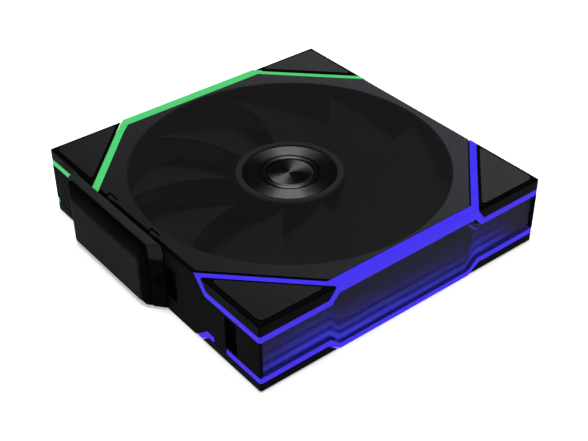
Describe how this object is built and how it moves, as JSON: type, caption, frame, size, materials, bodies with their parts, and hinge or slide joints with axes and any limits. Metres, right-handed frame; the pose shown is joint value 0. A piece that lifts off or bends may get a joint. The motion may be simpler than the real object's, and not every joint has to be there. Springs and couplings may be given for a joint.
{
  "type": "case fan",
  "caption": "Square illuminated case fan with a round air duct, swept-blade rotor, lit edge lines and a plug-on connector module.",
  "frame": {"origin": "on the rotor axis, on the rear mounting plane", "axes": "+Z along the rotor axis towards the intake side, -Y towards the blue-lit side, -X towards the connector module"},
  "size_m": [0.1279, 0.124, 0.027],
  "materials": {
    "cap_black": "satin",
    "pad_rubber": "matt",
    "led_strip": "matt",
    "light_blue": "frosted, lit",
    "light_green": "frosted, lit",
    "smoked_window": "smoked gloss",
    "mirror_film": "dark mirror",
    "frame_black": "fine texture",
    "blade_black": "matt",
    "spun_disc": "spun, dark anodised",
    "label_plate": "plain",
    "brass_parts": "machined",
    "nylon_parts": "natural",
    "steel_parts": "bright",
    "copper_wire": "enamelled",
    "ferrite": "sintered",
    "circuit_board": "solder mask",
    "ribbon": "satin",
    "module_black": "fine texture",
    "gold_contacts": "plated"
  },
  "bodies": {
    "fan_body": {"bearing_sleeve": "brass_parts", "bearing_tube": "brass_parts", "bracket_screw_1": "steel_parts", "bracket_screw_2": "steel_parts", "bracket_screw_3": "steel_parts", "bracket_screw_4": "steel_parts", "contact_board_left": "circuit_board", "contact_board_right": "circuit_board", "duct_frame": "frame_black", "front_cap_back_left": "cap_black", "front_cap_back_right": "cap_black", "front_cap_front_left": "cap_black", "front_cap_front_right": "cap_black", "front_pad_back_left": "pad_rubber", "front_pad_back_right": "pad_rubber", "front_pad_front_left": "pad_rubber", "front_pad_front_right": "pad_rubber", "led_strip_back_left": "led_strip", "led_strip_back_right": "led_strip", "led_strip_front_left": "led_strip", "led_strip_front_right": "led_strip", "lower_light_guide_blue": "light_blue", "lower_light_guide_green": "light_green", "mirror_panel_blue": "mirror_film", "mirror_panel_green": "mirror_film", "mirror_window_blue": "smoked_window", "mirror_window_green": "smoked_window", "motor_board": "circuit_board", "motor_bracket": "frame_black", "motor_rear_cover": "label_plate", "motor_ribbon": "ribbon", "rear_cap_back_left": "cap_black", "rear_cap_back_right": "cap_black", "rear_cap_front_left": "cap_black", "rear_cap_front_right": "cap_black", "rear_pad_back_left": "pad_rubber", "rear_pad_back_right": "pad_rubber", "rear_pad_front_left": "pad_rubber", "rear_pad_front_right": "pad_rubber", "stator_core": "steel_parts", "stator_insulator": "nylon_parts", "stator_windings": "copper_wire", "thrust_washer": "nylon_parts", "upper_light_guide_blue": "light_blue", "upper_light_guide_green": "light_green"},
    "rotor": {"impeller": "blade_black", "hub_cap": "spun_disc", "rotor_yoke": "steel_parts", "magnet_ring": "ferrite", "rotor_bushing": "brass_parts", "shaft": "steel_parts", "retaining_clip": "steel_parts"},
    "module": {"module_base": "module_black", "module_cover": "module_black", "module_board": "circuit_board", "module_screw_1": "steel_parts", "module_screw_2": "steel_parts", "cable_grommet": "pad_rubber"},
    "contacts": {"contact_block": "gold_contacts"}
  },
  "joints": [
    {"name": "rotor_spin", "type": "hinge", "parent": "fan_body", "child": "rotor", "pos_m": [0, 0, 0.0135], "axis": [0, 0, 1], "continuous": true},
    {"name": "module_slide", "type": "slide", "parent": "fan_body", "child": "module", "axis": [0, 0, 1], "range_m": [0, 0.024]},
    {"name": "contact_travel", "type": "slide", "parent": "module", "child": "contacts", "axis": [-1, 0, 0], "range_m": [0, 0.0004], "stiffness_N_per_m": 20}
  ]
}
